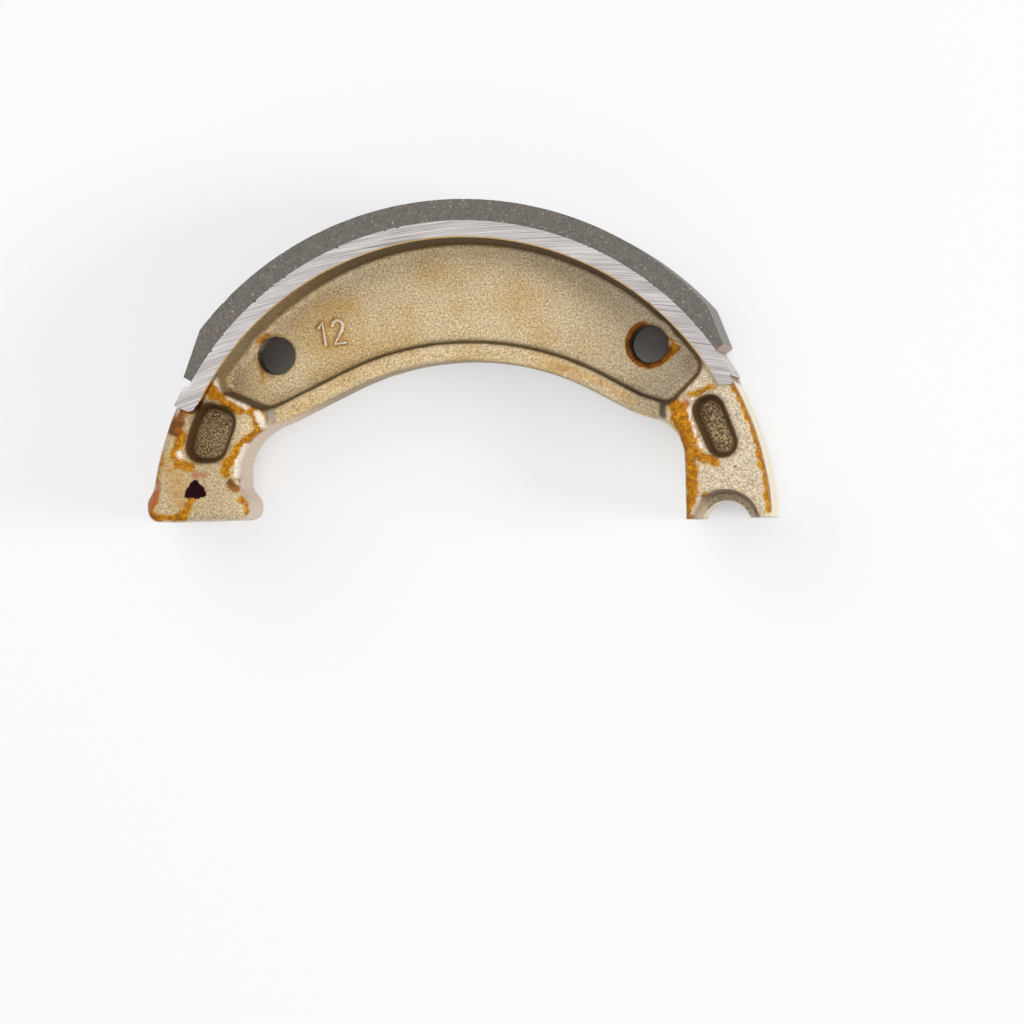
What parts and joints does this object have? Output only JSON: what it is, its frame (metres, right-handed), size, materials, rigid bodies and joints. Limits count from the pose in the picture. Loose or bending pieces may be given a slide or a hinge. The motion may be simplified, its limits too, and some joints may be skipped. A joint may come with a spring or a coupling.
{
  "type": "brake shoe",
  "caption": "Curved drum-brake shoe: a cast aluminium web and rim with a flat cam foot, a half-round anchor seat and a bonded friction lining.",
  "frame": {"origin": "on the axis of the half-round anchor seat, at the middle of the shoe's width", "axes": "+Z along the anchor pin, towards the side seen in the picture; +X from the drum's axis towards the anchor pin, along the shoe's length; +Y from the split face towards the lining. The drum's axis is parallel to Z at X = -43.2 mm, Y = 0"},
  "size_m": [0.1034, 0.0538, 0.025],
  "materials": {
    "cast_aluminium": "as-cast skin with a warm conversion coating, rim faces machined bare",
    "friction_material": "ground moulded friction material"
  },
  "bodies": {
    "root": {"shoe_casting": "cast_aluminium", "friction_lining": "friction_material"}
  },
  "joints": []
}
